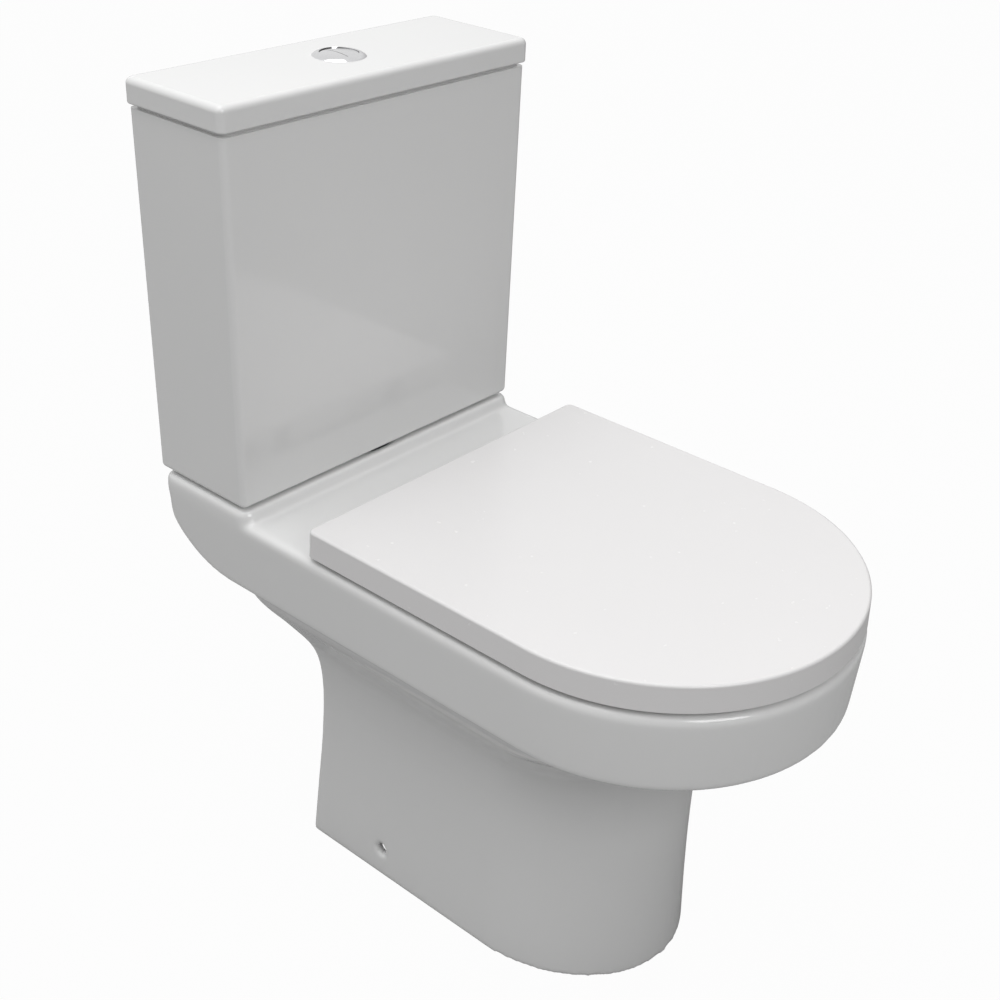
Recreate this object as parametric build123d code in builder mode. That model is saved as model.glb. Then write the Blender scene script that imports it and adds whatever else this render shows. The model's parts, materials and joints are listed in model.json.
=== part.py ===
from build123d import *
import os

os.makedirs("parts", exist_ok=True)

# Millimetres. X is the width, -Y the front, +Y the wall, +Z up. The origin is on the floor,
# in the plane of symmetry, half way (to 1 mm) between the nose of the pan and the wall.

# Pan
NOSE_Y = -317.0  # foremost point of the rim
WALL_Y = 319.0  # plane of the finished wall
BEND_Y = -134.5  # the straight sides turn into the round nose here
PAN_HALF = 182.5
RIM_TOP = 400.0
BAND_BOTTOM = 323.0
BAND_DRAFT = 5.0  # the band narrows by this much on each side towards its lower edge
PLATFORM_TOP = 411.5
PLATFORM_FRONT = 193.5
SHELF_BACK = 313.0
CERAMIC = 11.0  # wall of the pan
FLANK_CORNER = 9.0
RIM_LIP = 386.0  # underside of the rim's inward lip
RIM_GALLERY = 350.0  # floor of the flushing gallery under the rim
DUCT_HALF = 32.0
DUCT_TOP = 378.0
DUCT_BOTTOM = 348.0

# Outlet and trap
OUTLET_Z = 180.0
OUTLET_END_Y = 240.0
SPIGOT_RADIUS = 51.0
SPIGOT_BORE = 43.0
TRAP_BORE = 34.0
TRAP_OUTER = 44.0
TRAP_BEND = 50.0

# Side fixing to the floor
FLOOR_HOLE_Y = 89.0
FLOOR_HOLE_Z = 32.0
FLOOR_HOLE_RADIUS = 7.0

# Cistern
TANK_BOTTOM = 414.6
TANK_TOP = 756.0
TANK_CENTRE_Y = 257.0
TANK_DEPTH = 121.0
TANK_WIDTH_TOP = 367.2
TANK_WIDTH_BOTTOM = 360.2
TANK_CORNER = 6.0
TANK_WALL = 9.0
TANK_FLOOR = 426.0
LID_BOTTOM = 759.4
LID_TOP = 782.0
LID_WIDTH = 372.0
LID_DEPTH = 124.0
WALL_HOLE_SPACING = 160.0
WALL_HOLE_Z = 712.0

# Seat
HINGE_Y = 102.0
HINGE_Z = 418.0
HINGE_SPACING = 155.0
PIN_RADIUS = 3.0
RUNNING = 0.05  # radial clearance of a turning or sliding fit
SEAT_LID_BOTTOM = 405.2
SEAT_LID_TOP = 430.5
SEAT_LID_SKIN = 5.0
SEAT_LID_HALF = 181.3
SEAT_LID_NOSE = -315.2
SEAT_LID_BACK = 113.4
RING_BOTTOM = 403.5
RING_TOP = 419.0
RING_HALF = 174.0
RING_NOSE = -309.4
RING_BACK = 84.0

# Coupling between cistern and pan
COUPLING_SPACING = 164.0
SHELF_UNDERSIDE = 388.0

# Flush valve, under the middle of the cistern lid
VALVE_SEAT_Z = 436.0
TUBE_RADIUS = 14.0
TUBE_TOP = 684.0
ROCKER_Z = 705.0
ROCKER_LIFT_ARM = 21.0
FULL_ROD_X = 13.0
HALF_ROD_X = -9.5
HALF_ROD_Y = TANK_CENTRE_Y - 9.5

# Fill valve, at the left end of the cistern
INLET_X = -130.0
INLET_RADIUS = 10.4
INLET_SHANK_RADIUS = 10.7
INLET_END_Z = 352.0
INLET_TAIL_TOP = 400.0
LEVER_PIVOT_X = INLET_X - 20.0
LEVER_Z = 712.5
LINK_X = INLET_X + 32.0

# Flush button
BUTTON_FACE_Z = 785.0
BUTTON_RADIUS = 17.4
BUTTON_FOOT_Z = 771.0
BEZEL_RADIUS = 24.5
SLEEVE_FLOOR_Z = 744.0
BUTTON_SPLIT_X = -4.0  # the small half flush button lies left of this line


# Places and alignments used by several pieces
CENTRED_FROM_BOTTOM = (Align.CENTER, Align.CENTER, Align.MIN)
UPWARD_FROM_TOP = (Align.CENTER, Align.CENTER, Align.MAX)
SEAT_BOLTS_XY = [(side * HINGE_SPACING / 2, HINGE_Y) for side in (-1, 1)]
SEAT_BOLTS_AT = [(x, y, RIM_TOP - 30.0) for x, y in SEAT_BOLTS_XY]
COUPLING_XY = [(side * COUPLING_SPACING / 2, TANK_CENTRE_Y) for side in (-1, 1)]
COUPLING_AT = [(x, y, RIM_TOP - 30.0) for x, y in COUPLING_XY]
VALVE_XY = (0.0, TANK_CENTRE_Y)
INLET_XY = (INLET_X, TANK_CENTRE_Y)
RODS_XY = [(FULL_ROD_X, TANK_CENTRE_Y), (HALF_ROD_X, HALF_ROD_Y)]
FULL_ROD_FOOT = ROCKER_Z + 3.4
HALF_ROD_FOOT = ROCKER_Z + 3.0
HOOK_BOTTOM = ROCKER_Z + 6.0
HINGE_POST_WIDTH = 24.0
EYE_RADIUS = 7.0
LID_EYE_X = HINGE_SPACING / 2 + 18.6
LID_EYE_WIDTH = 12.0
RING_EYE_X = HINGE_SPACING / 2 - 18.6
RING_EYE_WIDTH = 12.0
BUFFERS_AT = [(-120.0, -234.0), (120.0, -234.0), (-150.0, -20.0), (150.0, -20.0)]


def d_face(half: float, nose: float, back: float, corner: float, bend: float = BEND_Y) -> Sketch:
    """D-shaped outline: straight sides, an elliptical nose at the front and two round rear corners."""
    with BuildSketch() as outline:
        with BuildLine():
            Line((-half, back), (-half, bend))
            EllipticalCenterArc((0, bend), half, bend - nose, start_angle=180, arc_size=180)
            Line((half, bend), (half, back))
            Line((half, back), (-half, back))
        make_face()
        fillet(outline.vertices().group_by(Axis.Y)[-1], corner)
    return outline.sketch


def oval_face(half: float, front: float, middle: float, back: float) -> Sketch:
    """Egg-shaped outline: two half ellipses of one width that meet at y = middle."""
    with BuildSketch() as outline:
        with BuildLine():
            EllipticalCenterArc((0, middle), half, middle - front, start_angle=180, arc_size=180)
            EllipticalCenterArc((0, middle), half, back - middle, start_angle=0, arc_size=180)
        make_face()
    return outline.sketch


def bowl_part(sections: list, grow: float) -> Part:
    """Smooth solid through egg-shaped sections (z, half, front, middle, back), each one grown."""
    with BuildPart() as body:
        for z, half, front, middle, back in sections:
            with BuildSketch(Plane.XY.offset(z)):
                add(oval_face(half + grow, front - grow, middle, back + grow))
        loft()
    return body.part


def blended(rows: list, between: int) -> list:
    """The rows with extra ones in between, on a smooth cubic through all of them."""
    dense = []
    for i in range(len(rows) - 1):
        before, start, end = rows[max(i - 1, 0)], rows[i], rows[i + 1]
        after = rows[min(i + 2, len(rows) - 1)]
        for k in range(between + 1):
            t = k / (between + 1)
            z = start[0] + t * (end[0] - start[0])
            row = [z]
            for b, s, e, a in zip(before[1:], start[1:], end[1:], after[1:]):
                step = end[0] - start[0]
                slope_in = (e - b) / (end[0] - before[0]) * step
                slope_out = (a - s) / (after[0] - start[0]) * step
                rise = (2 * t**3 - 3 * t**2 + 1) * s + (3 * t**2 - 2 * t**3) * e
                row.append(rise + (t**3 - 2 * t**2 + t) * slope_in + (t**3 - t**2) * slope_out)
            dense.append(tuple(row))
    return dense + [rows[-1]]


def flank_part(inset: float, lengthen: float, rows: list) -> Part:
    """The skirted foot, flaring up to the band, with its outline drawn in by inset."""
    with BuildPart() as body:
        for z, half, nose, bend, back in rows:
            with BuildSketch(Plane.XY.offset(z)):
                add(d_face(half - inset, nose + inset, back + lengthen, FLANK_CORNER, bend))
        loft(ruled=True)
    return body.part


def band_part(inset: float, lengthen: float, bottom: float, top: float, edge: float) -> Part:
    """The D-shaped band around the bowl, drawn in by inset, with its lower edge rounded by edge."""
    low = inset + BAND_DRAFT
    with BuildPart() as body:
        with BuildSketch(Plane.XY.offset(bottom)):
            add(d_face(PAN_HALF - low, NOSE_Y + low, SHELF_BACK + lengthen, 14.0))
        with BuildSketch(Plane.XY.offset(top)):
            add(d_face(PAN_HALF - inset, NOSE_Y + inset, SHELF_BACK + lengthen, 14.0))
        loft(ruled=True)
        fillet(body.edges().filter_by(Plane.XY).group_by(Axis.Z)[0], edge)
    return body.part


def tank_part(inset: float, bottom: float, corner: float) -> Part:
    """Tapered rectangular block of the cistern, drawn in by inset, from bottom to the tank's top."""
    with BuildPart() as body:
        with BuildSketch(Plane.XY.offset(bottom)):
            with Locations((0, TANK_CENTRE_Y)):
                RectangleRounded(TANK_WIDTH_BOTTOM - 2 * inset, TANK_DEPTH - 1 - 2 * inset, corner)
        with BuildSketch(Plane.XY.offset(TANK_TOP)):
            with Locations((0, TANK_CENTRE_Y)):
                RectangleRounded(TANK_WIDTH_TOP - 2 * inset, TANK_DEPTH - 2 * inset, corner)
        loft(ruled=True)
    return body.part


def rings(centres: list, bottom: float, top: float, outer: float, inner: float) -> BuildPart:
    """A group of equal upright washers or tubes, one at each centre."""
    with BuildPart(Plane.XY.offset(bottom)) as group:
        with Locations(*centres):
            Cylinder(outer, top - bottom, align=(Align.CENTER, Align.CENTER, Align.MIN))
            Cylinder(
                inner, top - bottom, align=(Align.CENTER, Align.CENTER, Align.MIN), mode=Mode.SUBTRACT
            )
    return group


def wing_nuts(centres: list, bottom: float, height: float, bore: float) -> BuildPart:
    """A group of equal wing nuts: a round hub with two flat wings."""
    with BuildPart(Plane.XY.offset(bottom)) as group:
        with Locations(*centres):
            Cylinder(9.0, height, align=(Align.CENTER, Align.CENTER, Align.MIN))
            Box(34.0, 3.6, height * 0.8, align=(Align.CENTER, Align.CENTER, Align.MIN))
            Cylinder(bore, height, align=(Align.CENTER, Align.CENTER, Align.MIN), mode=Mode.SUBTRACT)
    return group


def coil(radius: float, wire: float, bottom: float, height: float, turns: float, at: tuple) -> BuildPart:
    """A compression spring standing on bottom, coiled around the upright line at (x, y)."""
    centre = (at[0], at[1], bottom + wire)
    with BuildPart() as spring:
        with BuildLine() as path:
            Helix((height - 2 * wire) / turns, height - 2 * wire, radius, center=centre)
        with BuildSketch(Plane(origin=path.line @ 0, z_dir=path.line % 0)):
            Circle(wire)
        sweep()
    return spring


pieces = {}

# ---------------------------------------------------------------- ceramic pan

# z, half width, nose, end of the straight side, back
FLANK = [
    (-6.0, 114.2, -187.7, -48.0, 193.0),
    (70.0, 112.0, -184.0, -47.0, 186.5),
    (140.0, 111.5, -182.0, -47.0, 179.5),
    (205.0, 113.5, -182.5, -51.0, 176.5),
    (245.0, 121.5, -186.0, -66.0, 180.0),
    (280.0, 144.0, -200.0, -86.0, 192.0),
    (305.0, 162.5, -232.0, -108.0, 205.0),
    (330.0, 173.5, -290.0, -130.0, 219.0),
]

# z, half width, front, widest place, back
BOWL = [
    (62.0, 30.0, -28.0, 4.0, 40.0),
    (110.0, 46.0, -68.0, -4.0, 50.0),
    (170.0, 70.0, -118.0, -22.0, 60.0),
    (230.0, 92.0, -162.0, -44.0, 68.0),
    (280.0, 118.0, -205.0, -70.0, 74.0),
    (320.0, 140.0, -252.0, -94.0, 79.0),
    (352.0, 152.0, -282.0, -108.0, 84.0),
]

# the room inside the foot and the shelf, open underneath and at the back
with BuildPart() as pan_hollow:
    add(flank_part(CERAMIC, 30.0, FLANK))
    add(band_part(CERAMIC, 30.0, BAND_BOTTOM - 1.0, SHELF_UNDERSIDE, 3.0))

with BuildPart() as pan:
    add(flank_part(0.0, 0.0, blended(FLANK, 3)))
    add(band_part(0.0, 0.0, BAND_BOTTOM, RIM_TOP, 5.0))
    fillet(pan.edges().filter_by(Plane.XY).group_by(Axis.Z)[-1], 7.0)

    # raised platform under the cistern, with a soft front step
    with BuildSketch(Plane.XY.offset(RIM_TOP - 8.0)):
        with Locations((0, (PLATFORM_FRONT + SHELF_BACK) / 2)):
            RectangleRounded(2 * PAN_HALF - 1.0, SHELF_BACK - PLATFORM_FRONT, 12.0)
    extrude(amount=PLATFORM_TOP - RIM_TOP + 8.0)
    fillet(pan.edges().filter_by(Plane.XY).group_by(Axis.Z)[-1], 7.0)

    # the underside of the shelf sweeps up to its back edge
    with BuildSketch(Plane.YZ):
        with BuildLine():
            EllipticalCenterArc((208.0, 390.0), SHELF_BACK - 208.0, 68.0, start_angle=270, arc_size=90)
            Line((SHELF_BACK, 390.0), (SHELF_BACK + 10.0, 390.0))
            Line((SHELF_BACK + 10.0, 390.0), (SHELF_BACK + 10.0, 310.0))
            Line((SHELF_BACK + 10.0, 310.0), (208.0, 310.0))
            Line((208.0, 310.0), (208.0, 322.0))
        make_face()
    extrude(amount=PAN_HALF + 10.0, both=True, mode=Mode.SUBTRACT)

    add(pan_hollow.part, mode=Mode.SUBTRACT)
    split(bisect_by=Plane.XY, keep=Keep.TOP)

    # bowl with its flushing gallery, duct from the cistern, trap and outlet spigot
    add(bowl_part(BOWL, CERAMIC))
    with BuildSketch(Plane.XY.offset(RIM_GALLERY - CERAMIC)):
        add(oval_face(156.0 + CERAMIC, -290.0 - CERAMIC, BEND_Y + 24.0, 86.0 + CERAMIC))
    extrude(amount=RIM_TOP - 2.0 - RIM_GALLERY + CERAMIC)
    with BuildSketch(Plane.XY.offset(DUCT_BOTTOM - CERAMIC)):
        with Locations((0, 178.0)):
            Rectangle(2 * (DUCT_HALF + CERAMIC), 250.0)
    extrude(amount=RIM_TOP - 2.0 - DUCT_BOTTOM + CERAMIC)
    with BuildSketch(Plane.XY.offset(DUCT_BOTTOM - CERAMIC)):
        with Locations((0, TANK_CENTRE_Y - 6.0)):
            Circle(61.0)
    extrude(amount=RIM_TOP - 2.0 - DUCT_BOTTOM + CERAMIC)
    with BuildLine() as trap_line:
        FilletPolyline(
            (0, -30, 105), (0, 80, 55), (0, 135, 215), (0, 200, OUTLET_Z), (0, OUTLET_END_Y, OUTLET_Z),
            radius=TRAP_BEND,
        )
    with BuildSketch(Plane(origin=trap_line.line @ 0, z_dir=trap_line.line % 0)):
        Circle(TRAP_OUTER)
    sweep(path=trap_line.line)
    with BuildSketch(Plane.XZ.offset(-OUTLET_END_Y)):
        with Locations((0, OUTLET_Z)):
            Circle(SPIGOT_RADIUS)
    extrude(amount=42.0)

    add(bowl_part(BOWL, 0.0), mode=Mode.SUBTRACT)
    with BuildSketch(Plane.XY.offset(RIM_GALLERY)):
        add(oval_face(156.0, -290.0, BEND_Y + 24.0, 86.0))
    extrude(amount=RIM_LIP - RIM_GALLERY, mode=Mode.SUBTRACT)
    with BuildSketch(Plane.XY.offset(RIM_LIP - 1.0)):
        add(oval_face(136.0, -270.0, BEND_Y + 24.0, 62.0))
    extrude(amount=RIM_TOP - RIM_LIP + 2.0, mode=Mode.SUBTRACT)
    with BuildSketch(Plane.XY.offset(DUCT_BOTTOM)):
        with Locations((0, 180.0)):
            Rectangle(2 * DUCT_HALF, 210.0)
    extrude(amount=DUCT_TOP - DUCT_BOTTOM, mode=Mode.SUBTRACT)
    with BuildSketch(Plane(origin=trap_line.line @ 0, z_dir=trap_line.line % 0)):
        Circle(TRAP_BORE)
    sweep(path=trap_line.line, mode=Mode.SUBTRACT)
    with BuildSketch(Plane.XZ.offset(-OUTLET_END_Y)):
        with Locations((0, OUTLET_Z)):
            Circle(SPIGOT_BORE)
    extrude(amount=38.0, mode=Mode.SUBTRACT)


    # recess for the close-coupling washer, and the way from it into the duct
    with Locations((0, TANK_CENTRE_Y, PLATFORM_TOP)):
        Cylinder(52.0, PLATFORM_TOP - 386.0, align=UPWARD_FROM_TOP, mode=Mode.SUBTRACT)
        Cylinder(32.0, 40.0, align=UPWARD_FROM_TOP, mode=Mode.SUBTRACT)
    # seat fixing holes and coupling holes
    with Locations(*SEAT_BOLTS_AT):
        Cylinder(7.0, 60.0, align=CENTRED_FROM_BOTTOM, mode=Mode.SUBTRACT)
    with Locations(*COUPLING_AT):
        Cylinder(6.0, 60.0, align=CENTRED_FROM_BOTTOM, mode=Mode.SUBTRACT)
    # notch in the shelf for the water supply, open towards the wall
    with BuildSketch(Plane.XY.offset(SHELF_UNDERSIDE - 60.0)):
        with Locations((INLET_X, TANK_CENTRE_Y)):
            Circle(21.0)
        with Locations((INLET_X, TANK_CENTRE_Y + 40.0)):
            Rectangle(42.0, 80.0)
    extrude(amount=100.0, mode=Mode.SUBTRACT)
    # side fixing holes to the floor
    with Locations((0, FLOOR_HOLE_Y, FLOOR_HOLE_Z)):
        Cylinder(FLOOR_HOLE_RADIUS, 260.0, rotation=(0, 90, 0), mode=Mode.SUBTRACT)
pieces["pan"] = pan

# ---------------------------------------------------------------- cistern and its lid

with BuildPart() as cistern:
    add(tank_part(0.0, TANK_BOTTOM, TANK_CORNER))
    fillet(cistern.edges().filter_by(Plane.XY).group_by(Axis.Z)[0], TANK_CORNER - 1.0)
    add(tank_part(TANK_WALL, TANK_FLOOR, 5.0), mode=Mode.SUBTRACT)
    with Locations((0, TANK_CENTRE_Y, TANK_FLOOR + 1.0)):
        Cylinder(31.0, 20.0, align=UPWARD_FROM_TOP, mode=Mode.SUBTRACT)
    with Locations((INLET_X, TANK_CENTRE_Y, TANK_FLOOR + 1.0)):
        Cylinder(11.5, 20.0, align=UPWARD_FROM_TOP, mode=Mode.SUBTRACT)
    with Locations(*[(x, y, TANK_FLOOR - 20.0) for x, y in COUPLING_XY]):
        Cylinder(6.0, 30.0, align=CENTRED_FROM_BOTTOM, mode=Mode.SUBTRACT)
    with Locations(*[(side * WALL_HOLE_SPACING / 2, WALL_Y - 6.0, WALL_HOLE_Z) for side in (-1, 1)]):
        Cylinder(3.5, 30.0, rotation=(90, 0, 0), mode=Mode.SUBTRACT)
pieces["cistern"] = cistern

with BuildPart() as cistern_lid:
    with BuildSketch(Plane.XY.offset(LID_BOTTOM)):
        with Locations((0, TANK_CENTRE_Y)):
            RectangleRounded(LID_WIDTH, LID_DEPTH, 6.5)
    extrude(amount=LID_TOP - LID_BOTTOM)
    fillet(cistern_lid.edges().filter_by(Plane.XY).group_by(Axis.Z)[-1], 6.0)
    fillet(cistern_lid.edges().filter_by(Plane.XY).group_by(Axis.Z)[0], 2.0)
    # bearing rib that stands on the cistern's rim and leaves a shadow gap around it
    with BuildSketch(Plane.XY.offset(TANK_TOP)):
        with Locations((0, TANK_CENTRE_Y)):
            RectangleRounded(TANK_WIDTH_TOP - 8.0, TANK_DEPTH - 8.0, 5.0)
    extrude(amount=LID_BOTTOM - TANK_TOP + 1.0)
    # lip that drops inside the cistern
    with BuildSketch(Plane.XY.offset(TANK_TOP - 7.0)):
        with Locations((0, TANK_CENTRE_Y)):
            RectangleRounded(TANK_WIDTH_TOP - 24.0, TANK_DEPTH - 24.0, 6.0)
    extrude(amount=10.0)
    with BuildSketch(Plane.XY.offset(TANK_TOP - 8.0)):
        with Locations((0, TANK_CENTRE_Y)):
            RectangleRounded(TANK_WIDTH_TOP - 38.0, TANK_DEPTH - 38.0, 5.0)
    extrude(amount=BUTTON_FOOT_Z - TANK_TOP + 8.0, mode=Mode.SUBTRACT)
    with Locations((0, TANK_CENTRE_Y, LID_TOP + 1.0)):
        Cylinder(20.0, 30.0, align=UPWARD_FROM_TOP, mode=Mode.SUBTRACT)
pieces["cistern_lid"] = cistern_lid

# ---------------------------------------------------------------- seat

with BuildPart() as seat_lid:
    with BuildSketch(Plane.XY.offset(SEAT_LID_BOTTOM)):
        add(d_face(SEAT_LID_HALF, SEAT_LID_NOSE, SEAT_LID_BACK, 7.0))
    with BuildSketch(Plane.XY.offset(SEAT_LID_TOP)):
        add(d_face(SEAT_LID_HALF - 1.0, SEAT_LID_NOSE + 1.0, SEAT_LID_BACK - 0.5, 7.0))
    loft(ruled=True)
    fillet(seat_lid.edges().filter_by(Plane.XY).group_by(Axis.Z)[-1], 2.5)
    with BuildSketch(Plane.XY.offset(SEAT_LID_BOTTOM - 1.0)):
        add(d_face(SEAT_LID_HALF - 4.4, SEAT_LID_NOSE + 4.4, SEAT_LID_BACK - 4.2, 5.0))
    extrude(amount=SEAT_LID_TOP - SEAT_LID_SKIN - SEAT_LID_BOTTOM + 1.0, mode=Mode.SUBTRACT)
    # the back skirt is cut away around the hinges
    with Locations(*[(side * HINGE_SPACING / 2, SEAT_LID_BACK, SEAT_LID_BOTTOM) for side in (-1, 1)]):
        Box(56.0, 20.0, 2 * (SEAT_LID_TOP - SEAT_LID_SKIN - SEAT_LID_BOTTOM), mode=Mode.SUBTRACT)
    # an eye outside each hinge post, hung from the top
    for side in (-1, 1):
        with BuildSketch(Plane.YZ.offset(side * LID_EYE_X)):
            with Locations((HINGE_Y, HINGE_Z)):
                Circle(EYE_RADIUS)
            with Locations((HINGE_Y - 3.0, HINGE_Z + 4.5)):
                Rectangle(2 * EYE_RADIUS - 2.0, 7.0)
            with Locations((HINGE_Y, HINGE_Z)):
                Circle(PIN_RADIUS + RUNNING, mode=Mode.SUBTRACT)
        extrude(amount=LID_EYE_WIDTH / 2, both=True)
pieces["seat_lid"] = seat_lid

with BuildPart() as seat_ring:
    with BuildSketch(Plane.XY.offset(RING_BOTTOM)):
        add(d_face(RING_HALF, RING_NOSE, RING_BACK, 12.0))
        add(oval_face(110.0, -250.0, -112.0, 20.0), mode=Mode.SUBTRACT)
    extrude(amount=RING_TOP - RING_BOTTOM)
    fillet(seat_ring.edges().filter_by(Plane.XY).group_by(Axis.Z)[-1], 4.0)
    for side in (-1, 1):
        with BuildSketch(Plane.YZ.offset(side * RING_EYE_X)):
            with Locations((HINGE_Y, HINGE_Z)):
                Circle(EYE_RADIUS)
            with Locations(((RING_BACK + HINGE_Y) / 2 - 3.0, HINGE_Z - 4.0)):
                Rectangle(HINGE_Y - RING_BACK + 6.0, 6.0)
            with Locations((HINGE_Y, HINGE_Z)):
                Circle(PIN_RADIUS + RUNNING, mode=Mode.SUBTRACT)
        extrude(amount=RING_EYE_WIDTH / 2, both=True)
pieces["seat_ring"] = seat_ring

with BuildPart() as seat_ring_buffers:
    with BuildSketch(Plane.XY.offset(RIM_TOP + 0.2)):
        with Locations(*BUFFERS_AT):
            SlotOverall(26.0, 10.0, rotation=90)
    extrude(amount=RING_BOTTOM - RIM_TOP - 0.2)
    fillet(seat_ring_buffers.edges().filter_by(Plane.XY).group_by(Axis.Z)[0], 1.0)
pieces["seat_ring_buffers"] = seat_ring_buffers

with BuildPart() as seat_lid_buffers:
    with BuildSketch(Plane.XY.offset(RING_TOP + 0.2)):
        with Locations(*BUFFERS_AT):
            Circle(6.0)
    extrude(amount=SEAT_LID_TOP - SEAT_LID_SKIN - RING_TOP - 0.2)
    fillet(seat_lid_buffers.edges().filter_by(Plane.XY).group_by(Axis.Z)[0], 1.0)
pieces["seat_lid_buffers"] = seat_lid_buffers

with BuildPart() as seat_hinge_posts:
    for x, y in SEAT_BOLTS_XY:
        with BuildSketch(Plane.XY.offset(RIM_TOP)):
            with Locations((x, y)):
                RectangleRounded(HINGE_POST_WIDTH, 30.0, 6.0)
        extrude(amount=2.8)
        with BuildSketch(Plane.YZ.offset(x)):
            with Locations((y, HINGE_Z)):
                Circle(6.0)
            with Locations((y, (RIM_TOP + HINGE_Z) / 2)):
                Rectangle(9.6, HINGE_Z - RIM_TOP)
        extrude(amount=HINGE_POST_WIDTH / 2, both=True)
        with BuildSketch(Plane.YZ.offset(x)):
            with Locations((y, HINGE_Z)):
                Circle(PIN_RADIUS)
        extrude(amount=HINGE_POST_WIDTH, both=True, mode=Mode.SUBTRACT)
        with Locations((x, y, RIM_TOP)):
            Cylinder(4.05, 10.0, align=CENTRED_FROM_BOTTOM, mode=Mode.SUBTRACT)
pieces["seat_hinge_posts"] = seat_hinge_posts

with BuildPart() as seat_hinge_pins:
    for x, y in SEAT_BOLTS_XY:
        with Locations((x, y, HINGE_Z)):
            Cylinder(PIN_RADIUS, 50.0, rotation=(0, 90, 0))
    chamfer(seat_hinge_pins.edges().filter_by(GeomType.CIRCLE), 0.5)
pieces["seat_hinge_pins"] = seat_hinge_pins

with BuildPart(Plane.XY.offset(346.0)) as seat_fixing_bolts:
    with Locations(*SEAT_BOLTS_XY):
        Cylinder(4.0, RIM_TOP + 9.5 - 346.0, align=CENTRED_FROM_BOTTOM)
    chamfer(seat_fixing_bolts.edges().filter_by(GeomType.CIRCLE).group_by(Axis.Z)[0], 1.0)
pieces["seat_fixing_bolts"] = seat_fixing_bolts

pieces["seat_fixing_bushes"] = rings(SEAT_BOLTS_XY, SHELF_UNDERSIDE, RIM_TOP - 0.2, 6.9, 4.1)
pieces["seat_fixing_washers"] = rings(SEAT_BOLTS_XY, SHELF_UNDERSIDE - 3.0, SHELF_UNDERSIDE, 13.0, 4.1)
pieces["seat_wing_nuts"] = wing_nuts(SEAT_BOLTS_XY, SHELF_UNDERSIDE - 13.0, 10.0, 4.05)

# ---------------------------------------------------------------- coupling of cistern and pan

with BuildPart(Plane.XY.offset(352.0)) as coupling_bolts:
    with Locations(*COUPLING_XY):
        Cylinder(4.0, TANK_FLOOR + 5.0 - 352.0, align=CENTRED_FROM_BOTTOM)
    with BuildSketch(Plane.XY.offset(TANK_FLOOR + 5.0)):
        with Locations(*COUPLING_XY):
            Circle(9.0)
    extrude(amount=5.0)
    with BuildSketch(Plane.XY.offset(TANK_FLOOR + 10.0)):
        with Locations(*COUPLING_XY):
            Rectangle(20.0, 1.6)
    extrude(amount=-2.0, mode=Mode.SUBTRACT)
pieces["coupling_bolts"] = coupling_bolts

pieces["coupling_bolt_seals"] = rings(COUPLING_XY, TANK_FLOOR, TANK_FLOOR + 5.0, 12.0, 4.1)
pieces["coupling_washers"] = rings(COUPLING_XY, SHELF_UNDERSIDE - 2.0, SHELF_UNDERSIDE, 12.0, 4.1)
pieces["coupling_wing_nuts"] = wing_nuts(COUPLING_XY, SHELF_UNDERSIDE - 12.0, 10.0, 4.05)
pieces["close_coupling_washer"] = rings([VALVE_XY], 386.0, TANK_BOTTOM, 50.0, 41.0)

# ---------------------------------------------------------------- flush valve

with BuildPart() as flush_valve_base:
    with Locations((0, TANK_CENTRE_Y, TANK_FLOOR + 3.0)):
        Cylinder(40.0, VALVE_SEAT_Z - TANK_FLOOR - 3.0, align=CENTRED_FROM_BOTTOM)
    with Locations((0, TANK_CENTRE_Y, 392.0)):
        Cylinder(29.5, VALVE_SEAT_Z - 392.0, align=CENTRED_FROM_BOTTOM)
        Cylinder(24.0, VALVE_SEAT_Z - 392.0, align=CENTRED_FROM_BOTTOM, mode=Mode.SUBTRACT)
pieces["flush_valve_base"] = flush_valve_base

pieces["flush_valve_seal"] = rings([VALVE_XY], TANK_FLOOR, TANK_FLOOR + 3.0, 40.0, 29.8)

with BuildPart() as flush_valve_backnut:
    with BuildSketch(Plane.XY.offset(402.0)):
        with Locations(VALVE_XY):
            RegularPolygon(40.0, 8)
            Circle(29.6, mode=Mode.SUBTRACT)
    extrude(amount=TANK_BOTTOM - 402.0)
pieces["flush_valve_backnut"] = flush_valve_backnut

with BuildPart() as flush_valve_cage:
    with Locations((0, TANK_CENTRE_Y, VALVE_SEAT_Z)):
        Cylinder(34.0, 124.0, align=CENTRED_FROM_BOTTOM)
        Cylinder(31.0, 120.0, align=CENTRED_FROM_BOTTOM, mode=Mode.SUBTRACT)
        Cylinder(TUBE_RADIUS + 0.6, 130.0, align=CENTRED_FROM_BOTTOM, mode=Mode.SUBTRACT)
        with Locations((0, 0, 26.0)):
            Box(100.0, 26.0, 40.0, mode=Mode.SUBTRACT)
            Box(26.0, 100.0, 40.0, mode=Mode.SUBTRACT)
    # uprights that carry the rocker's pin
    with BuildSketch(Plane.XY.offset(VALVE_SEAT_Z + 124.0)):
        with Locations((0, TANK_CENTRE_Y - 22.0), (0, TANK_CENTRE_Y + 22.0)):
            Rectangle(9.0, 6.0)
    extrude(amount=ROCKER_Z + 5.0 - VALVE_SEAT_Z - 124.0)
    with Locations((0, TANK_CENTRE_Y, ROCKER_Z)):
        Cylinder(2.02, 60.0, rotation=(90, 0, 0), mode=Mode.SUBTRACT)
pieces["flush_valve_cage"] = flush_valve_cage

with BuildPart() as rocker_pin:
    with Locations((0, TANK_CENTRE_Y, ROCKER_Z)):
        Cylinder(2.0, 52.0, rotation=(90, 0, 0))
pieces["rocker_pin"] = rocker_pin

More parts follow.
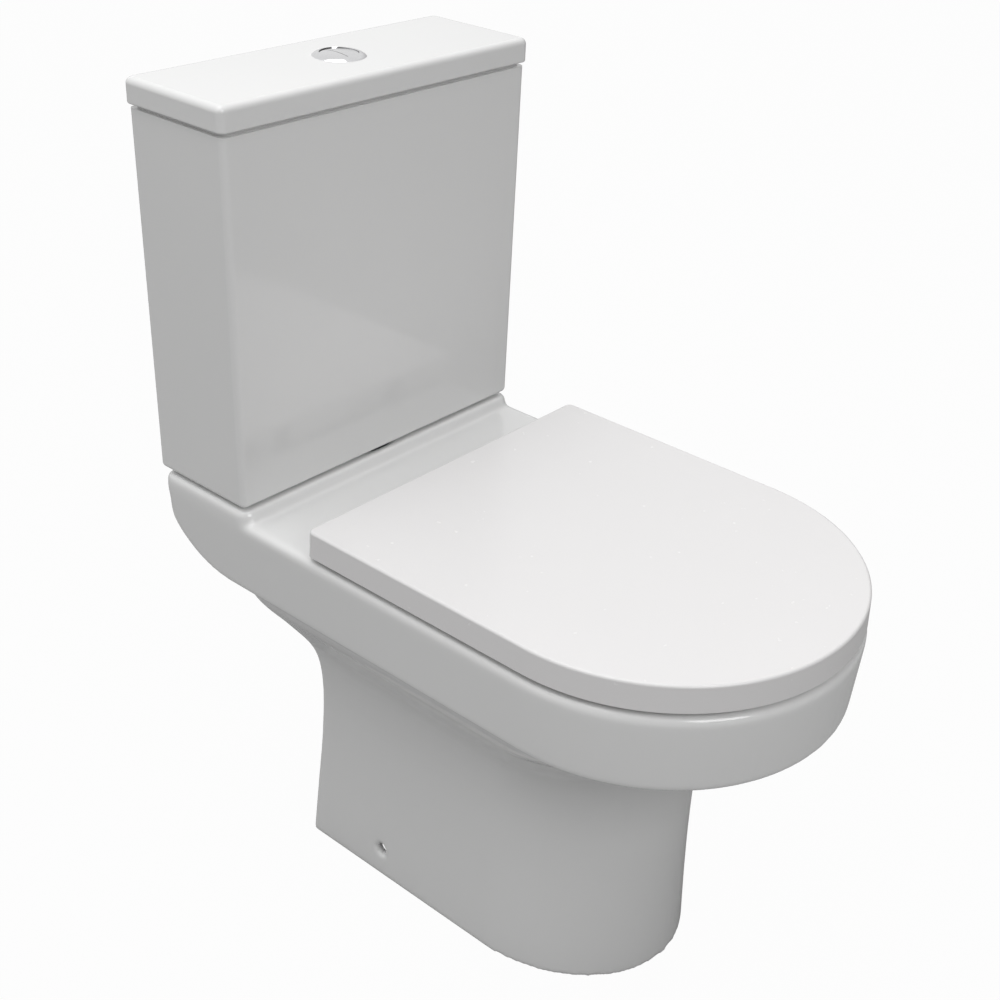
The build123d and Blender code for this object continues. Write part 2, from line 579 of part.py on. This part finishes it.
with BuildPart() as lift_rocker:
    with BuildSketch(Plane.XZ.offset(-TANK_CENTRE_Y)):
        with Locations((0, ROCKER_Z)):
            Circle(4.5)
        with BuildLine():
            Polyline(
                (-ROCKER_LIFT_ARM, ROCKER_Z + 2.0),
                (FULL_ROD_X + 4.0, ROCKER_Z + 2.0),
                (FULL_ROD_X + 4.0, ROCKER_Z - 2.0),
                (-ROCKER_LIFT_ARM, ROCKER_Z - 2.0),
                close=True,
            )
        make_face()
        with Locations((0, ROCKER_Z)):
            Circle(2.0 + RUNNING, mode=Mode.SUBTRACT)
    extrude(amount=5.0, both=True)
pieces["lift_rocker"] = lift_rocker

with BuildPart() as overflow_tube:
    with Locations((0, TANK_CENTRE_Y, VALVE_SEAT_Z + 0.2)):
        Cylinder(TUBE_RADIUS, TUBE_TOP - VALVE_SEAT_Z - 0.2, align=CENTRED_FROM_BOTTOM)
    with Locations((0, TANK_CENTRE_Y, VALVE_SEAT_Z + 4.2)):
        Cylinder(26.0, 3.0, align=CENTRED_FROM_BOTTOM)
    with Locations((0, TANK_CENTRE_Y, TUBE_TOP - 6.0)):
        Cylinder(17.0, 4.0, align=CENTRED_FROM_BOTTOM)
    # hook from the collar up and over the end of the rocker
    with BuildSketch(Plane.XZ.offset(-TANK_CENTRE_Y)):
        with BuildLine():
            Polyline(
                (-12.0, TUBE_TOP - 6.0),
                (-32.0, TUBE_TOP - 6.0),
                (-32.0, HOOK_BOTTOM + 4.0),
                (-ROCKER_LIFT_ARM + 4.0, HOOK_BOTTOM + 4.0),
                (-ROCKER_LIFT_ARM + 4.0, HOOK_BOTTOM),
                (-28.0, HOOK_BOTTOM),
                (-28.0, TUBE_TOP - 2.0),
                (-12.0, TUBE_TOP - 2.0),
                close=True,
            )
        make_face()
    extrude(amount=4.0, both=True)
    with Locations((0, TANK_CENTRE_Y, VALVE_SEAT_Z)):
        Cylinder(TUBE_RADIUS - 2.0, 300.0, align=CENTRED_FROM_BOTTOM, mode=Mode.SUBTRACT)
pieces["overflow_tube"] = overflow_tube

pieces["flush_seal"] = rings(
    [VALVE_XY], VALVE_SEAT_Z + 0.2, VALVE_SEAT_Z + 4.2, 29.0, TUBE_RADIUS + RUNNING
)

with BuildPart() as half_flush_slider:
    with Locations((HALF_ROD_X - 6.0, HALF_ROD_Y - 11.0, ROCKER_Z - 85.0)):
        Box(5.0, 5.0, 87.0, align=CENTRED_FROM_BOTTOM)
        Box(16.0, 13.0, 34.0, align=CENTRED_FROM_BOTTOM)
    with Locations((HALF_ROD_X - 3.0, HALF_ROD_Y - 6.0, ROCKER_Z - 1.0)):
        Box(12.0, 17.0, 3.0, align=CENTRED_FROM_BOTTOM)
pieces["half_flush_slider"] = half_flush_slider

# ---------------------------------------------------------------- flush button

with BuildPart() as button_bezel:
    with BuildSketch(Plane.XZ.offset(-TANK_CENTRE_Y)):
        with BuildLine():
            Polyline(
                (BUTTON_RADIUS + 0.4, BUTTON_FACE_Z),
                (BUTTON_RADIUS + 0.4, SLEEVE_FLOOR_Z + 2.0),
                (0, SLEEVE_FLOOR_Z + 2.0),
                (0, SLEEVE_FLOOR_Z),
                (19.6, SLEEVE_FLOOR_Z),
                (19.6, LID_TOP),
                (BEZEL_RADIUS, LID_TOP),
            )
            RadiusArc((BEZEL_RADIUS, LID_TOP), (BUTTON_RADIUS + 0.4, BUTTON_FACE_Z), -12.0)
        make_face()
    revolve(axis=Axis((0, TANK_CENTRE_Y, 0), (0, 0, 1)))
    with Locations(*[(x, y, SLEEVE_FLOOR_Z) for x, y in RODS_XY]):
        Cylinder(2.4, 4.0, align=CENTRED_FROM_BOTTOM, mode=Mode.SUBTRACT)
pieces["button_bezel"] = button_bezel

pieces["button_locknut"] = rings([VALVE_XY], BUTTON_FOOT_Z - 8.0, BUTTON_FOOT_Z, 26.0, 19.7)


def button_half(side: int) -> BuildPart:
    """One of the two buttons: side -1 is the small half flush segment, 1 the large full flush one."""
    with BuildPart() as button:
        with BuildSketch(Plane.XZ.offset(-TANK_CENTRE_Y)):
            with BuildLine():
                Line((0, BUTTON_FOOT_Z), (BUTTON_RADIUS, BUTTON_FOOT_Z))
                Line((BUTTON_RADIUS, BUTTON_FOOT_Z), (BUTTON_RADIUS, BUTTON_FACE_Z - 0.8))
                RadiusArc((BUTTON_RADIUS, BUTTON_FACE_Z - 0.8), (0, BUTTON_FACE_Z + 0.9), -90.0)
                Line((0, BUTTON_FACE_Z + 0.9), (0, BUTTON_FOOT_Z))
            make_face()
        revolve(axis=Axis((0, TANK_CENTRE_Y, 0), (0, 0, 1)))
        with Locations((BUTTON_SPLIT_X - side * 50.2, TANK_CENTRE_Y, BUTTON_FOOT_Z)):
            Box(101.0, 100.0, 60.0, mode=Mode.SUBTRACT)
    return button


pieces["full_flush_button"] = button_half(1)
pieces["half_flush_button"] = button_half(-1)
pieces["full_flush_rod"] = rings([RODS_XY[0]], FULL_ROD_FOOT, BUTTON_FOOT_Z, 2.0, 0.8)
pieces["half_flush_rod"] = rings([RODS_XY[1]], HALF_ROD_FOOT, BUTTON_FOOT_Z, 2.0, 0.8)
for name, at in zip(("full_flush_spring", "half_flush_spring"), RODS_XY):
    pieces[name] = coil(3.2, 0.4, SLEEVE_FLOOR_Z + 2.0, BUTTON_FOOT_Z - SLEEVE_FLOOR_Z - 2.2, 7, at)

# ---------------------------------------------------------------- fill valve

with BuildPart() as fill_valve_body:
    with Locations((INLET_X, TANK_CENTRE_Y, INLET_END_Z)):
        Cylinder(INLET_RADIUS, INLET_TAIL_TOP - INLET_END_Z, align=CENTRED_FROM_BOTTOM)
        Cylinder(INLET_RADIUS - 0.6, INLET_TAIL_TOP + 3.0 - INLET_END_Z, align=CENTRED_FROM_BOTTOM)
    with Locations((INLET_X, TANK_CENTRE_Y, INLET_TAIL_TOP + 2.0)):
        Cylinder(
            INLET_SHANK_RADIUS, TANK_FLOOR + 1.0 - INLET_TAIL_TOP, align=CENTRED_FROM_BOTTOM
        )
    with Locations((INLET_X, TANK_CENTRE_Y, TANK_FLOOR + 3.0)):
        Cylinder(16.0, 5.0, align=CENTRED_FROM_BOTTOM)
        Cylinder(8.0, 242.0, align=CENTRED_FROM_BOTTOM)
    with Locations((INLET_X, TANK_CENTRE_Y, 668.0)):
        Cylinder(15.0, 30.0, align=CENTRED_FROM_BOTTOM)
    with Locations((LEVER_PIVOT_X, TANK_CENTRE_Y - 6.5, 690.0), (LEVER_PIVOT_X, TANK_CENTRE_Y + 6.5, 690.0)):
        Box(9.0, 3.0, 26.5, align=CENTRED_FROM_BOTTOM)
    with Locations((LEVER_PIVOT_X + 4.0, TANK_CENTRE_Y, 690.0)):
        Box(17.0, 16.0, 8.0, align=CENTRED_FROM_BOTTOM)
    with Locations((LEVER_PIVOT_X, TANK_CENTRE_Y, LEVER_Z)):
        Cylinder(1.82, 30.0, rotation=(90, 0, 0), mode=Mode.SUBTRACT)
    with Locations((INLET_X, TANK_CENTRE_Y, INLET_END_Z)):
        Cylinder(7.6, 30.0, align=CENTRED_FROM_BOTTOM, mode=Mode.SUBTRACT)
        Cylinder(5.0, 330.0, align=CENTRED_FROM_BOTTOM, mode=Mode.SUBTRACT)
pieces["fill_valve_body"] = fill_valve_body

pieces["fill_valve_cap"] = rings([INLET_XY], 698.0, 705.0, 16.0, 2.0)
pieces["inlet_strainer"] = rings([INLET_XY], INLET_END_Z + 4.0, INLET_END_Z + 26.0, 7.4, 6.2)
pieces["inlet_seal"] = rings([INLET_XY], TANK_FLOOR, TANK_FLOOR + 3.0, 16.0, 11.0)

with BuildPart() as inlet_backnut:
    with BuildSketch(Plane.XY.offset(TANK_BOTTOM - 8.0)):
        with Locations(INLET_XY):
            RegularPolygon(18.0, 6)
            Circle(INLET_SHANK_RADIUS + RUNNING, mode=Mode.SUBTRACT)
    extrude(amount=8.0)
pieces["inlet_backnut"] = inlet_backnut

with BuildPart() as float_cup:
    with Locations((INLET_X, TANK_CENTRE_Y, 560.0)):
        Cylinder(28.0, 60.0, align=CENTRED_FROM_BOTTOM)
        Cylinder(24.0, 56.0, align=CENTRED_FROM_BOTTOM, mode=Mode.SUBTRACT)
        Cylinder(11.0, 60.0, align=CENTRED_FROM_BOTTOM)
    with Locations((LINK_X - 2.0, TANK_CENTRE_Y, 610.0)):
        Box(14.0, 9.0, 10.0, align=CENTRED_FROM_BOTTOM)
    with Locations((INLET_X, TANK_CENTRE_Y, 560.0)):
        Cylinder(8.5, 60.0, align=CENTRED_FROM_BOTTOM, mode=Mode.SUBTRACT)
    with Locations((LINK_X, TANK_CENTRE_Y, 606.0)):
        Cylinder(1.8, 20.0, align=CENTRED_FROM_BOTTOM, mode=Mode.SUBTRACT)
pieces["float_cup"] = float_cup

with BuildPart() as float_link:
    with Locations((LINK_X, TANK_CENTRE_Y, 606.0)):
        Cylinder(1.8, 122.0, align=CENTRED_FROM_BOTTOM)
    with Locations((LINK_X, TANK_CENTRE_Y, LEVER_Z - 7.0), (LINK_X, TANK_CENTRE_Y, LEVER_Z + 5.0)):
        Cylinder(5.0, 2.0, align=CENTRED_FROM_BOTTOM)
pieces["float_link"] = float_link

with BuildPart() as fill_valve_lever:
    with BuildSketch(Plane.XY.offset(LEVER_Z - 2.5)):
        with Locations(((LEVER_PIVOT_X + LINK_X) / 2, TANK_CENTRE_Y)):
            SlotCenterToCenter(LINK_X - LEVER_PIVOT_X, 9.0)
        with Locations((LINK_X, TANK_CENTRE_Y)):
            SlotOverall(12.0, 5.0, mode=Mode.SUBTRACT)
    extrude(amount=5.0)
    with Locations((LEVER_PIVOT_X, TANK_CENTRE_Y, LEVER_Z)):
        Cylinder(1.8 + RUNNING, 30.0, rotation=(90, 0, 0), mode=Mode.SUBTRACT)
pieces["fill_valve_lever"] = fill_valve_lever

with BuildPart() as lever_pin:
    with Locations((LEVER_PIVOT_X, TANK_CENTRE_Y, LEVER_Z)):
        Cylinder(1.8, 18.0, rotation=(90, 0, 0))
pieces["lever_pin"] = lever_pin

for label, piece in pieces.items():
    piece.part.label = label
    export_step(piece.part, f"parts/{label}.step")
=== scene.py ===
"""Looks of a close coupled toilet: glazed pan and cistern, moulded seat, chrome flush button.

Everything is in metres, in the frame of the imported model: +Z up, -Y the front, +Y the wall.
"""

import json
import logging
import math
from dataclasses import dataclass, field
from enum import Enum
from typing import Any, Sequence

import bpy
from mathutils import Euler, Matrix, Vector

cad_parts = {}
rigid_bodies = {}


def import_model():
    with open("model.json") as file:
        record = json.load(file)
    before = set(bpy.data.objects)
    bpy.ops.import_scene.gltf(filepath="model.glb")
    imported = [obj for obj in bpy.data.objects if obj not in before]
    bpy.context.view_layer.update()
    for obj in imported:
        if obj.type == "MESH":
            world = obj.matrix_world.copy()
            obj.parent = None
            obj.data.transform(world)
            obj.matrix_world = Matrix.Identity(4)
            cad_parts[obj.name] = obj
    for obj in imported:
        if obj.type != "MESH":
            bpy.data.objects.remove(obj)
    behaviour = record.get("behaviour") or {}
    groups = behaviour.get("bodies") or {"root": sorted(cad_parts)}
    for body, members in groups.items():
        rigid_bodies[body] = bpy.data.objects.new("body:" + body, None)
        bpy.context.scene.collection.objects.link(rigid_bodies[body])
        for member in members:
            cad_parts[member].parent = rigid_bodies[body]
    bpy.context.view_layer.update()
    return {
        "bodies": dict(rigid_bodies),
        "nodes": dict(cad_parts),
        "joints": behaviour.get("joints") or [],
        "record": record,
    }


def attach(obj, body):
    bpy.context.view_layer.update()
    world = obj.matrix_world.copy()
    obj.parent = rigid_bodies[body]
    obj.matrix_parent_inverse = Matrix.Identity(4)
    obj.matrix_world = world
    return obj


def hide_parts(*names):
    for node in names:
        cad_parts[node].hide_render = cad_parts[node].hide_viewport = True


log = logging.getLogger("toilet")

MM = 0.001

RGB = tuple[float, float, float]
WHITE: RGB = (1.0, 1.0, 1.0)
Scale = tuple[float, float, float]
EVEN: Scale = (1.0, 1.0, 1.0)


class Slot(Enum):
    """The material slots of the record, by their names there."""

    GLAZE = "glaze"
    SEAT_PLASTIC = "seat_plastic"
    VALVE_PLASTIC = "valve_plastic"
    CHROME = "chrome"
    RUBBER = "rubber"
    STEEL = "steel"


# ------------------------------------------------------------------ shader graph


class Sock:
    """A shader socket with Python's arithmetic on it."""

    def __init__(self, graph: "Graph", socket: bpy.types.NodeSocket) -> None:
        """Wraps one output socket of a node in graph."""
        self.graph = graph
        self.socket = socket

    def _math(self, operation: str, first: Any, second: Any) -> "Sock":
        """One Math node on two values or sockets."""
        return self.graph.node("ShaderNodeMath", {"operation": operation}, {0: first, 1: second})

    def __add__(self, other: Any) -> "Sock":
        """self + other."""
        return self._math("ADD", self, other)

    def __radd__(self, other: Any) -> "Sock":
        """other + self."""
        return self._math("ADD", other, self)

    def __mul__(self, other: Any) -> "Sock":
        """self * other."""
        return self._math("MULTIPLY", self, other)

    def __rmul__(self, other: Any) -> "Sock":
        """other * self."""
        return self._math("MULTIPLY", other, self)


class Graph:
    """The node tree of one material."""

    def __init__(self, name: str) -> None:
        """Makes an empty material called name, with its output node."""
        self.material = bpy.data.materials.new(name)
        self.material.use_nodes = True
        self.tree = self.material.node_tree
        self.tree.nodes.clear()
        self.output = self.tree.nodes.new("ShaderNodeOutputMaterial")

    def node(
        self, kind: str, settings: dict[str, Any], inputs: dict[Any, Any], output: Any = 0
    ) -> Sock:
        """Adds one node.

        Args:
            kind: the node's type name.
            settings: attributes of the node, set before its sockets.
            inputs: values or sockets for its inputs, by name or number.
            output: which output is wanted, by name or number.

        Returns:
            The wanted output.
        """
        made = self.tree.nodes.new(kind)
        for key, value in settings.items():
            setattr(made, key, value)
        for key, value in inputs.items():
            if isinstance(value, Sock):
                self.tree.links.new(value.socket, made.inputs[key])
            else:
                made.inputs[key].default_value = value
        return Sock(self, made.outputs[output])

    def ramp(self, mask: Sock, stops: Sequence[tuple[float, float]]) -> Sock:
        """A grey that follows mask through two (position, grey) stops."""
        made = self.node("ShaderNodeValToRGB", {}, {0: mask})
        for element, (position, grey) in zip(made.socket.node.color_ramp.elements, stops):
            element.position = position
            element.color = (grey, grey, grey, 1.0)
        return made

    def place(self) -> Sock:
        """The point on the object, in its own coordinates."""
        return self.node("ShaderNodeTexCoord", {}, {}, "Object")

    def noise(self, scale: float, detail: float = 2.0, stretch: Scale = EVEN) -> Sock:
        """Noise between 0 and 1.

        Args:
            scale: how many waves it has to the metre.
            detail: how many finer layers lie over them.
            stretch: how much denser the waves are along each axis.

        Returns:
            The noise.
        """
        at = self.node("ShaderNodeMapping", {}, {"Vector": self.place(), "Scale": stretch})
        return self.node(
            "ShaderNodeTexNoise", {}, {"Vector": at, "Scale": scale, "Detail": detail}, "Fac"
        )

    def blend(self, mask: Sock, first: RGB, second: RGB) -> Sock:
        """A colour between first and second."""
        return self.node(
            "ShaderNodeMix",
            {"data_type": "RGBA"},
            {0: mask, 6: (*first, 1.0), 7: (*second, 1.0)},
            2,
        )

    def bump(self, height: Sock, depth: float, under: Sock | None = None) -> Sock:
        """A bent normal.

        Args:
            height: the height field, between 0 and 1.
            depth: the height in metres of its full range.
            under: a bent normal that this one adds to.

        Returns:
            The normal.
        """
        inputs: dict[Any, Any] = {"Height": height, "Distance": depth, "Strength": 1.0}
        if under is not None:
            inputs["Normal"] = under
        return self.node("ShaderNodeBump", {}, inputs)

    def finish(self, inputs: dict[str, Any]) -> bpy.types.Material:
        """Ends the graph in a Principled shader with these inputs and returns the material."""
        shader = self.node("ShaderNodeBsdfPrincipled", {}, inputs)
        self.tree.links.new(shader.socket, self.output.inputs["Surface"])
        return self.material


# ------------------------------------------------------------------ finishes


def darker(colour: RGB, share: float) -> RGB:
    """The colour with this share of its brightness taken away."""
    red, green, blue = (part * (1.0 - share) for part in colour)
    return red, green, blue


@dataclass(frozen=True)
class Glaze:
    """Thick white glaze over cast ceramic: a deep gloss over a slow swell and a fine peel."""

    name: str = "white_glaze"
    light: RGB = (0.84, 0.84, 0.835)
    shade: RGB = (0.81, 0.812, 0.81)
    cloud: float = 5.0
    roughness: float = 0.07
    roughness_spread: float = 0.05
    smear: float = 38.0
    swell: float = 7.0
    swell_depth: float = 0.22 * MM
    peel: float = 260.0
    peel_depth: float = 0.012 * MM
    index: float = 1.52
    coat: float = 0.35
    coat_roughness: float = 0.03

    def material(self) -> bpy.types.Material:
        """Builds the material."""
        g = Graph(self.name)
        swell = g.bump(g.noise(self.swell, 1.0), self.swell_depth)
        smears = g.noise(self.smear, 4.0)
        return g.finish(
            {
                "Base Color": g.blend(g.noise(self.cloud, 3.0), self.shade, self.light),
                "Roughness": self.roughness + smears * self.roughness_spread,
                "Normal": g.bump(g.noise(self.peel), self.peel_depth, swell),
                "IOR": self.index,
                "Coat Weight": self.coat,
                "Coat Roughness": self.coat_roughness,
            }
        )


@dataclass(frozen=True)
class MouldedPlastic:
    """Injection moulded plastic: an even colour with a faint cloud and a fine mould grain."""

    name: str
    colour: RGB
    roughness: float
    roughness_spread: float = 0.06
    smear: float = 120.0
    grain: float = 900.0
    grain_depth: float = 0.004 * MM
    cloud: float = 9.0
    cloud_darkness: float = 0.02
    index: float = 1.5

    def material(self) -> bpy.types.Material:
        """Builds the material."""
        g = Graph(self.name)
        smoothest = self.roughness - self.roughness_spread / 2
        return g.finish(
            {
                "Base Color": g.blend(
                    g.noise(self.cloud, 3.0), darker(self.colour, self.cloud_darkness), self.colour
                ),
                "Roughness": smoothest + g.noise(self.smear, 3.0) * self.roughness_spread,
                "Normal": g.bump(g.noise(self.grain), self.grain_depth),
                "IOR": self.index,
            }
        )


@dataclass(frozen=True)
class PlatedMetal:
    """Polished or brushed metal with fine scratches that scatter its gloss."""

    name: str
    colour: RGB
    roughness: float
    brushing: Scale = EVEN
    scratch: float = 700.0
    scratch_depth: float = 0.004 * MM
    cloud: float = 60.0
    cloud_darkness: float = 0.1

    def material(self) -> bpy.types.Material:
        """Builds the material."""
        g = Graph(self.name)
        lines = g.noise(self.scratch, 4.0, self.brushing)
        return g.finish(
            {
                "Base Color": g.blend(
                    g.noise(self.cloud, 3.0), darker(self.colour, self.cloud_darkness), self.colour
                ),
                "Metallic": 1.0,
                "Roughness": self.roughness + lines * self.roughness,
                "Normal": g.bump(lines, self.scratch_depth),
            }
        )


@dataclass(frozen=True)
class SoftRubber:
    """Matte rubber with a powdery bloom."""

    name: str
    colour: RGB
    bloom: RGB
    bloom_patch: float = 140.0
    bloom_edges: tuple[float, float] = (0.35, 0.75)
    roughness: float = 0.62
    roughness_spread: float = 0.2
    smear: float = 300.0
    grain: float = 1500.0
    grain_depth: float = 0.02 * MM

    def material(self) -> bpy.types.Material:
        """Builds the material."""
        g = Graph(self.name)
        bare, dusty = self.bloom_edges
        dust = g.ramp(g.noise(self.bloom_patch, 5.0), ((bare, 0.0), (dusty, 1.0)))
        return g.finish(
            {
                "Base Color": g.blend(dust, self.colour, self.bloom),
                "Roughness": self.roughness + g.noise(self.smear, 3.0) * self.roughness_spread,
                "Normal": g.bump(g.noise(self.grain), self.grain_depth),
            }
        )


@dataclass
class Palette:
    """The materials of the toilet, one for each slot of the record."""

    made: dict[Slot, bpy.types.Material] = field(default_factory=dict)

    def mix(self) -> "Palette":
        """Builds every finish and returns self."""
        finishes = {
            Slot.GLAZE: Glaze(),
            Slot.SEAT_PLASTIC: MouldedPlastic("seat_plastic", (0.80, 0.79, 0.79), 0.26),
            Slot.VALVE_PLASTIC: MouldedPlastic("valve_plastic", (0.62, 0.66, 0.7), 0.42),
            Slot.CHROME: PlatedMetal("chrome_plate", (0.86, 0.86, 0.87), 0.09),
            Slot.RUBBER: SoftRubber("black_rubber", (0.03, 0.03, 0.032), (0.09, 0.09, 0.095)),
            Slot.STEEL: PlatedMetal("brushed_steel", (0.58, 0.58, 0.6), 0.2, (1.0, 1.0, 0.06)),
        }
        self.made = {slot: finish.material() for slot, finish in finishes.items()}
        return self

    def dress(self, piece: bpy.types.Object, slot: Slot) -> None:
        """Gives a whole piece the finish of one slot."""
        piece.data.materials.clear()
        piece.data.materials.append(self.made[slot])


# ------------------------------------------------------------------ studio


@dataclass(frozen=True)
class SoftBox:
    """A square lamp that shines from place towards aim."""

    name: str
    place: Vector
    aim: Vector
    size: float
    power: float

    def build(self) -> None:
        """Adds the lamp to the scene."""
        data = bpy.data.lights.new(self.name, "AREA")
        data.shape = "SQUARE"
        data.size = self.size
        data.energy = self.power
        lamp = bpy.data.objects.new(self.name, data)
        bpy.context.scene.collection.objects.link(lamp)
        lamp.location = self.place
        lamp.rotation_euler = (self.place - self.aim).to_track_quat("Z", "Y").to_euler()


@dataclass
class Studio:
    """Pale floor, white room, soft lights and the camera."""

    azimuth: float = -50.62
    elevation: float = 30.01
    roll: float = 3.05
    distance: float = 1.37495
    target: tuple[float, float, float] = (-0.01987, 0.0104, 0.43148)
    lens: float = 54.98
    sensor: float = 36.0
    shift: tuple[float, float] = (-0.0169, 0.0064)
    floor_size: float = 14.0
    floor_paint: RGB = (0.36, 0.36, 0.36)
    floor_roughness: float = 0.9
    floor_white: float = 0.97
    room_light: float = 0.8
    wall_grey: float = 0.06
    bright_from: tuple[float, float, float] = (-0.05, 0.6, 0.8)
    bright_edge: float = 0.55
    lamps: tuple[SoftBox, ...] = (
        SoftBox("overhead", Vector((-0.5, 0.2, 2.8)), Vector((0.0, 0.0, 0.4)), 2.0, 24.0),
        SoftBox("front", Vector((-0.8, -2.8, 2.5)), Vector((0.0, 0.0, 0.5)), 1.6, 36.0),
    )

    def build(self) -> None:
        """Makes the whole studio."""
        self._camera()
        self._floor()
        self._room()
        for lamp in self.lamps:
            lamp.build()

    def _camera(self) -> None:
        """The camera looks down at the left front corner."""
        turn = Euler(
            (math.radians(90.0 - self.elevation), 0.0, math.radians(self.azimuth)), "XYZ"
        ).to_matrix()
        lean = Matrix.Rotation(math.radians(self.roll), 3, "Z")
        basis = turn @ lean
        data = bpy.data.cameras.new("camera")
        data.lens = self.lens
        data.sensor_width = self.sensor
        data.shift_x, data.shift_y = self.shift
        camera = bpy.data.objects.new("camera", data)
        bpy.context.scene.collection.objects.link(camera)
        camera.matrix_world = Matrix.Translation(
            Vector(self.target) + turn.col[2] * self.distance
        ) @ basis.to_4x4()
        bpy.context.scene.camera = camera

    def _floor(self) -> None:
        """A flat pale floor that looks almost as white as the backdrop."""
        bpy.ops.mesh.primitive_plane_add(size=self.floor_size, location=(0, 0, 0))
        floor = bpy.context.object
        floor.name = "studio_floor"
        g = Graph("studio_floor")
        paint = g.node(
            "ShaderNodeBsdfPrincipled",
            {},
            {"Base Color": (*self.floor_paint, 1.0), "Roughness": self.floor_roughness},
        )
        white = g.node("ShaderNodeEmission", {}, {"Color": (*WHITE, 1.0), "Strength": 1.0})
        seen = g.node("ShaderNodeLightPath", {}, {}, "Is Camera Ray") * self.floor_white
        both = g.node("ShaderNodeMixShader", {}, {0: seen, 1: paint, 2: white})
        g.tree.links.new(both.socket, g.output.inputs["Surface"])
        floor.data.materials.append(g.material)

    def _room(self) -> None:
        """Soft light that falls from above, and a white background for the camera."""
        world = bpy.data.worlds.new("room")
        world.use_nodes = True
        bpy.context.scene.world = world
        nodes, links = world.node_tree.nodes, world.node_tree.links
        nodes.clear()
        path = nodes.new("ShaderNodeLightPath")
        seen = nodes.new("ShaderNodeBackground")
        seen.inputs["Color"].default_value = (*WHITE, 1.0)
        seen.inputs["Strength"].default_value = 1.0
        place = nodes.new("ShaderNodeTexCoord")
        facing = nodes.new("ShaderNodeVectorMath")
        facing.operation = "DOT_PRODUCT"
        facing.inputs[1].default_value = self.bright_from
        ramp = nodes.new("ShaderNodeValToRGB")
        low, high = ramp.color_ramp.elements
        low.position, low.color = 0.0, (self.wall_grey, self.wall_grey, self.wall_grey, 1.0)
        high.position, high.color = self.bright_edge, (*WHITE, 1.0)
        lit = nodes.new("ShaderNodeBackground")
        lit.inputs["Strength"].default_value = self.room_light
        mix = nodes.new("ShaderNodeMixShader")
        out = nodes.new("ShaderNodeOutputWorld")
        links.new(place.outputs["Generated"], facing.inputs[0])
        links.new(facing.outputs["Value"], ramp.inputs[0])
        links.new(ramp.outputs["Color"], lit.inputs["Color"])
        links.new(path.outputs["Is Camera Ray"], mix.inputs[0])
        links.new(lit.outputs[0], mix.inputs[1])
        links.new(seen.outputs[0], mix.inputs[2])
        links.new(mix.outputs[0], out.inputs[0])


# ------------------------------------------------------------------ glazed ware


def picked(piece: bpy.types.Object) -> None:
    """Makes piece the only selected and the active object."""
    if bpy.context.object is not None and bpy.context.object.mode != "OBJECT":
        bpy.ops.object.mode_set(mode="OBJECT")
    bpy.ops.object.select_all(action="DESELECT")
    bpy.context.view_layer.objects.active = piece
    piece.select_set(True)


def apply(piece: bpy.types.Object, kind: str, settings: dict[str, Any]) -> None:
    """Adds a modifier to piece and applies it.

    Args:
        piece: the mesh object.
        kind: the modifier's type name.
        settings: attributes of the modifier.
    """
    picked(piece)
    modifier = piece.modifiers.new(kind.lower(), kind)
    for key, value in settings.items():
        setattr(modifier, key, value)
    bpy.ops.object.modifier_apply(modifier=modifier.name)


@dataclass
class CastWare:
    """A cast and glazed piece: sharp mould edges flow together under the glaze.

    Attributes:
        node: the CAD node that it is made over.
        grain: the size of the new mesh's cells.
        flow: how many times the mesh is smoothed.
        softness: how far a point moves each time, from 0 to 1.
        weld: how near two points of the CAD mesh are when they are one.
        limit: the most triangles it may have.
    """

    node: str
    grain: float
    flow: int
    softness: float = 0.5
    weld: float = 0.02 * MM
    limit: int = 190000

    def build(self, frame: dict[str, Any], palette: Palette) -> bpy.types.Object:
        """Builds the glazed piece over its CAD node.

        Args:
            frame: the loaded frame.
            palette: the finishes.

        Returns:
            The finished piece, riding on the toilet.
        """
        source = frame["nodes"][self.node]
        piece = source.copy()
        piece.data = source.data.copy()
        piece.name = f"{self.node}_ware"
        bpy.context.scene.collection.objects.link(piece)
        picked(piece)
        bpy.ops.object.mode_set(mode="EDIT")
        bpy.ops.mesh.select_all(action="SELECT")
        bpy.ops.mesh.remove_doubles(threshold=self.weld)
        bpy.ops.object.mode_set(mode="OBJECT")
        apply(
            piece, "REMESH", {"mode": "VOXEL", "voxel_size": self.grain, "use_smooth_shade": True}
        )
        apply(piece, "SMOOTH", {"factor": self.softness, "iterations": self.flow})
        triangles = 2 * len(piece.data.polygons)
        if triangles > self.limit:
            apply(piece, "DECIMATE", {"ratio": self.limit / triangles})
        bpy.ops.object.shade_smooth()
        palette.dress(piece, Slot.GLAZE)
        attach(piece, "toilet")
        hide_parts(self.node)
        log.info("%s: %d faces", piece.name, len(piece.data.polygons))
        return piece


def dress_frame(frame: dict[str, Any], palette: Palette) -> None:
    """Gives every CAD node the finish of its slot in the record."""
    slots = {part["node"]: Slot(part["material_slot"]) for part in frame["record"]["subparts"]}
    for name, node in frame["nodes"].items():
        palette.dress(node, slots[name])
    log.info("dressed %d CAD nodes", len(frame["nodes"]))


def main() -> None:
    """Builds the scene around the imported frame."""
    logging.basicConfig(level=logging.INFO, format="%(name)s: %(message)s")
    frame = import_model()
    bpy.context.scene.view_settings.view_transform = "Standard"
    palette = Palette().mix()
    dress_frame(frame, palette)
    CastWare("pan", 2.4 * MM, 11).build(frame, palette)
    Studio().build()


if __name__ == "__main__":
    main()
